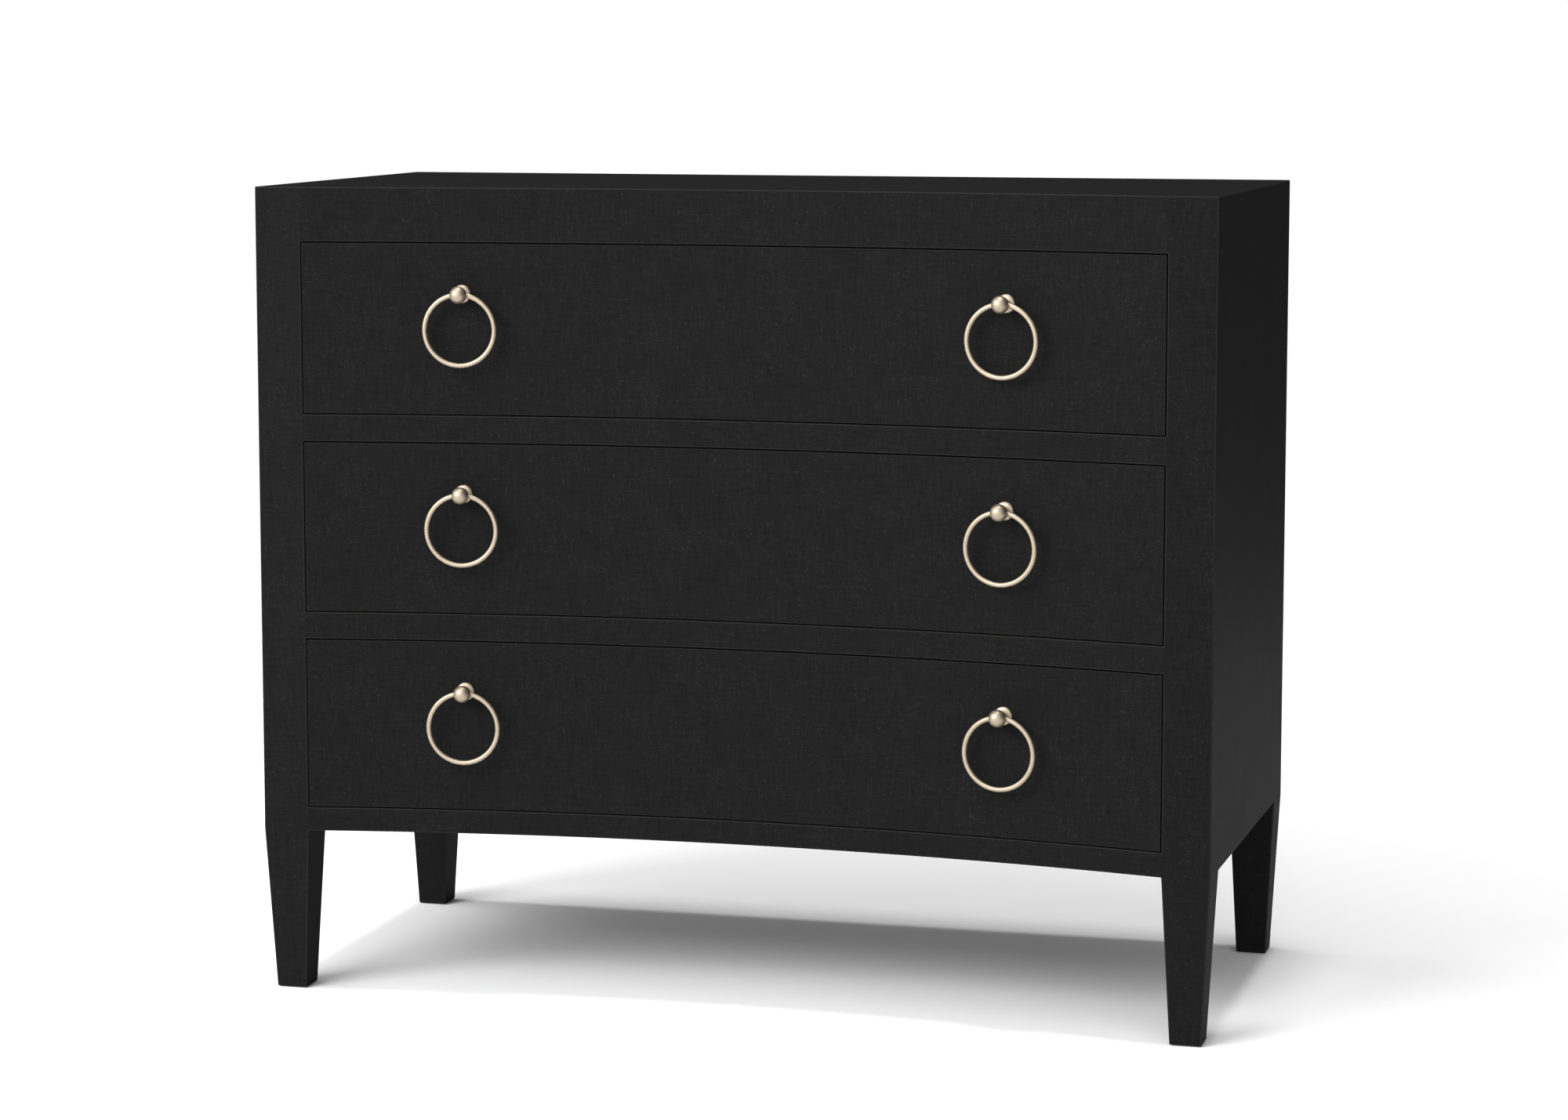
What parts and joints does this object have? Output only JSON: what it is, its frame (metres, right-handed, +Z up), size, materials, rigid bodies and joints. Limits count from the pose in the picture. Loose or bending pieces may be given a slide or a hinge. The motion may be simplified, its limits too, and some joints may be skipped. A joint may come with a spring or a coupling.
{
  "type": "nightstand with drawers",
  "caption": "Wide nightstand or bedside chest with a bowed-in front, stacked inset drawers on ball slides, hanging ring pulls and tapered legs.",
  "frame": {"origin": "on the floor, under the middle of the case", "axes": "+X to the right seen from the front, +Y from the front to the back, +Z up"},
  "size_m": [0.965, 0.457, 0.813],
  "materials": {
    "linen_lacquer": "board wrapped in plain-weave linen under black satin lacquer",
    "painted_board": "fine-grained board painted flat black",
    "birch": "clear satin varnish",
    "champagne_brass": "satin champagne brass",
    "zinc_steel": "bright zinc plate",
    "nylon": "moulded, matt"
  },
  "bodies": {
    "case": {"top_panel": "linen_lacquer", "side_panel_left": "linen_lacquer", "side_panel_right": "linen_lacquer", "back_panel": "painted_board", "base_panel": "painted_board", "front_post_left": "linen_lacquer", "front_post_right": "linen_lacquer", "back_post_left": "linen_lacquer", "back_post_right": "linen_lacquer", "top_rail": "linen_lacquer", "upper_divider_rail": "linen_lacquer", "lower_divider_rail": "linen_lacquer", "bottom_rail": "linen_lacquer", "top_dowels": "birch", "back_screws": "zinc_steel", "slide_packers": "birch", "leg_glides": "nylon", "upper_slide_case_members": "zinc_steel", "middle_slide_case_members": "zinc_steel", "lower_slide_case_members": "zinc_steel"},
    "upper_drawer": {"upper_drawer_front": "linen_lacquer", "upper_drawer_side_left": "birch", "upper_drawer_side_right": "birch", "upper_drawer_back": "birch", "upper_drawer_base": "birch", "upper_drawer_pull_screws": "zinc_steel", "upper_drawer_pull_rosettes": "champagne_brass", "upper_drawer_pull_post_left": "champagne_brass", "upper_drawer_pull_post_right": "champagne_brass", "upper_slide_drawer_members": "zinc_steel"},
    "upper_slide_middles": {"upper_slide_middle_members": "zinc_steel"},
    "upper_drawer_ring_left": {"upper_drawer_pull_ring_left": "champagne_brass"},
    "upper_drawer_ring_right": {"upper_drawer_pull_ring_right": "champagne_brass"},
    "middle_drawer": {"middle_drawer_front": "linen_lacquer", "middle_drawer_side_left": "birch", "middle_drawer_side_right": "birch", "middle_drawer_back": "birch", "middle_drawer_base": "birch", "middle_drawer_pull_screws": "zinc_steel", "middle_drawer_pull_rosettes": "champagne_brass", "middle_drawer_pull_post_left": "champagne_brass", "middle_drawer_pull_post_right": "champagne_brass", "middle_slide_drawer_members": "zinc_steel"},
    "middle_slide_middles": {"middle_slide_middle_members": "zinc_steel"},
    "middle_drawer_ring_left": {"middle_drawer_pull_ring_left": "champagne_brass"},
    "middle_drawer_ring_right": {"middle_drawer_pull_ring_right": "champagne_brass"},
    "lower_drawer": {"lower_drawer_front": "linen_lacquer", "lower_drawer_side_left": "birch", "lower_drawer_side_right": "birch", "lower_drawer_back": "birch", "lower_drawer_base": "birch", "lower_drawer_pull_screws": "zinc_steel", "lower_drawer_pull_rosettes": "champagne_brass", "lower_drawer_pull_post_left": "champagne_brass", "lower_drawer_pull_post_right": "champagne_brass", "lower_slide_drawer_members": "zinc_steel"},
    "lower_slide_middles": {"lower_slide_middle_members": "zinc_steel"},
    "lower_drawer_ring_left": {"lower_drawer_pull_ring_left": "champagne_brass"},
    "lower_drawer_ring_right": {"lower_drawer_pull_ring_right": "champagne_brass"}
  },
  "joints": [
    {"name": "upper_drawer_slide", "type": "slide", "parent": "case", "child": "upper_drawer", "axis": [0, -1, 0], "range_m": [0, 0.38]},
    {"name": "upper_middle_slide", "type": "slide", "parent": "case", "child": "upper_slide_middles", "axis": [0, -1, 0], "range_m": [0, 0.19]},
    {"name": "upper_drawer_ring_left_hinge", "type": "hinge", "parent": "upper_drawer", "child": "upper_drawer_ring_left", "pos_m": [-0.27319, -0.21525, 0.708], "axis": [-0.9916, -0.1294, 0], "range_deg": [-9, 189]},
    {"name": "upper_drawer_ring_right_hinge", "type": "hinge", "parent": "upper_drawer", "child": "upper_drawer_ring_right", "pos_m": [0.27319, -0.21525, 0.708], "axis": [-0.9916, 0.1294, 0], "range_deg": [-9, 189]},
    {"name": "middle_drawer_slide", "type": "slide", "parent": "case", "child": "middle_drawer", "axis": [0, -1, 0], "range_m": [0, 0.38]},
    {"name": "middle_middle_slide", "type": "slide", "parent": "case", "child": "middle_slide_middles", "axis": [0, -1, 0], "range_m": [0, 0.19]},
    {"name": "middle_drawer_ring_left_hinge", "type": "hinge", "parent": "middle_drawer", "child": "middle_drawer_ring_left", "pos_m": [-0.27319, -0.21525, 0.509], "axis": [-0.9916, -0.1294, 0], "range_deg": [-9, 189]},
    {"name": "middle_drawer_ring_right_hinge", "type": "hinge", "parent": "middle_drawer", "child": "middle_drawer_ring_right", "pos_m": [0.27319, -0.21525, 0.509], "axis": [-0.9916, 0.1294, 0], "range_deg": [-9, 189]},
    {"name": "lower_drawer_slide", "type": "slide", "parent": "case", "child": "lower_drawer", "axis": [0, -1, 0], "range_m": [0, 0.38]},
    {"name": "lower_middle_slide", "type": "slide", "parent": "case", "child": "lower_slide_middles", "axis": [0, -1, 0], "range_m": [0, 0.19]},
    {"name": "lower_drawer_ring_left_hinge", "type": "hinge", "parent": "lower_drawer", "child": "lower_drawer_ring_left", "pos_m": [-0.27319, -0.21525, 0.31], "axis": [-0.9916, -0.1294, 0], "range_deg": [-9, 189]},
    {"name": "lower_drawer_ring_right_hinge", "type": "hinge", "parent": "lower_drawer", "child": "lower_drawer_ring_right", "pos_m": [0.27319, -0.21525, 0.31], "axis": [-0.9916, 0.1294, 0], "range_deg": [-9, 189]}
  ],
  "couplings": [
    {"joint": "upper_middle_slide", "follows": "upper_drawer_slide", "ratio": 0.5},
    {"joint": "middle_middle_slide", "follows": "middle_drawer_slide", "ratio": 0.5},
    {"joint": "lower_middle_slide", "follows": "lower_drawer_slide", "ratio": 0.5}
  ]
}
